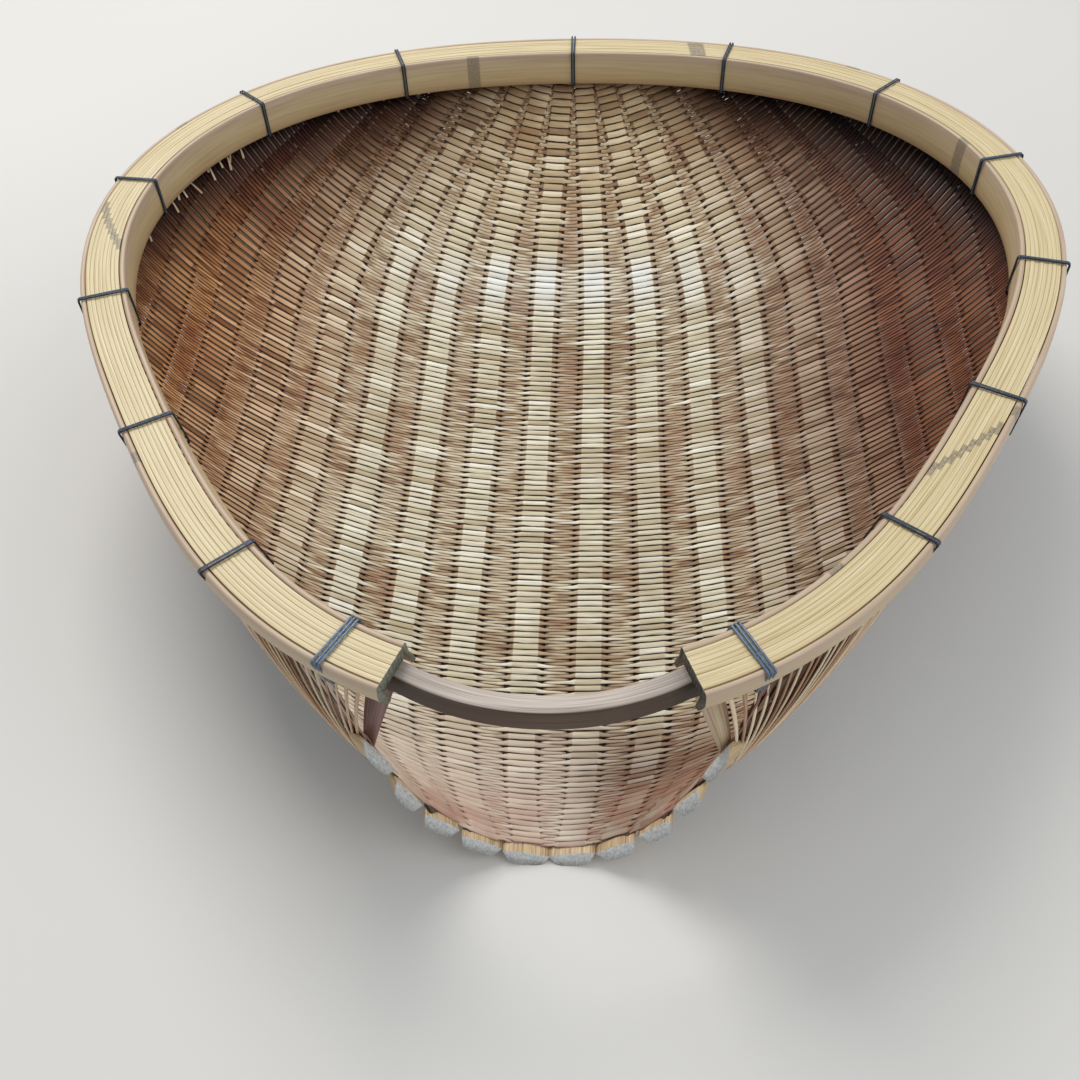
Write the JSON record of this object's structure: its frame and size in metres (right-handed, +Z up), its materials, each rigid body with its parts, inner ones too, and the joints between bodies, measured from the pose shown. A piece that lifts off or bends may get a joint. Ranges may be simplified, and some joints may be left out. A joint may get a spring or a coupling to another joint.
{
  "type": "winnowing basket",
  "caption": "Horseshoe-shaped woven bamboo scoop basket with a deep bowl, a wire-bound rim and an open mouth closed above by a bent bar.",
  "frame": {"origin": "on the floor under the middle of the basket's outline", "axes": "+Z up, +Y from the open mouth to the back of the bowl, +X to the right seen from the mouth"},
  "size_m": [0.5516, 0.5553, 0.1417],
  "materials": {
    "woven_bamboo": "split bamboo skin, satin, dirty in the weave",
    "rib_bamboo": "split bamboo slat, satin, worn",
    "hoop_bamboo": "bamboo skin, satin, handled and stained",
    "strip_bamboo": "thin split bamboo, satin",
    "bar_bamboo": "thick bamboo, skin side to the front, worn",
    "edge_bamboo": "flat bamboo strip, stained, satin",
    "tie_wire": "dark coated wire, tarnished"
  },
  "bodies": {
    "root": {"inner_hoop": "hoop_bamboo", "outer_hoop": "hoop_bamboo", "rim_strip_01": "strip_bamboo", "rim_strip_02": "strip_bamboo", "rim_strip_03": "strip_bamboo", "rim_strip_04": "strip_bamboo", "rim_strip_05": "strip_bamboo", "rim_strip_06": "strip_bamboo", "rim_strip_07": "strip_bamboo", "rim_strip_08": "strip_bamboo", "mouth_bar": "bar_bamboo", "woven_sheet": "woven_bamboo", "rib_01": "rib_bamboo", "rib_02": "rib_bamboo", "rib_03": "rib_bamboo", "rib_04": "rib_bamboo", "rib_05": "rib_bamboo", "rib_06": "rib_bamboo", "rib_07": "rib_bamboo", "rib_08": "rib_bamboo", "rib_09": "rib_bamboo", "rib_10": "rib_bamboo", "rib_11": "rib_bamboo", "rib_12": "rib_bamboo", "rib_13": "rib_bamboo", "rib_14": "rib_bamboo", "rib_15": "rib_bamboo", "rib_16": "rib_bamboo", "wire_tie_01": "tie_wire", "wire_tie_02": "tie_wire", "wire_tie_03": "tie_wire", "wire_tie_04": "tie_wire", "wire_tie_05": "tie_wire", "wire_tie_06": "tie_wire", "wire_tie_07": "tie_wire", "wire_tie_08": "tie_wire", "wire_tie_09": "tie_wire", "wire_tie_10": "tie_wire", "wire_tie_11": "tie_wire", "wire_tie_12": "tie_wire", "wire_tie_13": "tie_wire", "wire_tie_14": "tie_wire", "wire_tie_15": "tie_wire", "edge_strip_left": "edge_bamboo", "edge_strip_right": "edge_bamboo"}
  },
  "joints": []
}
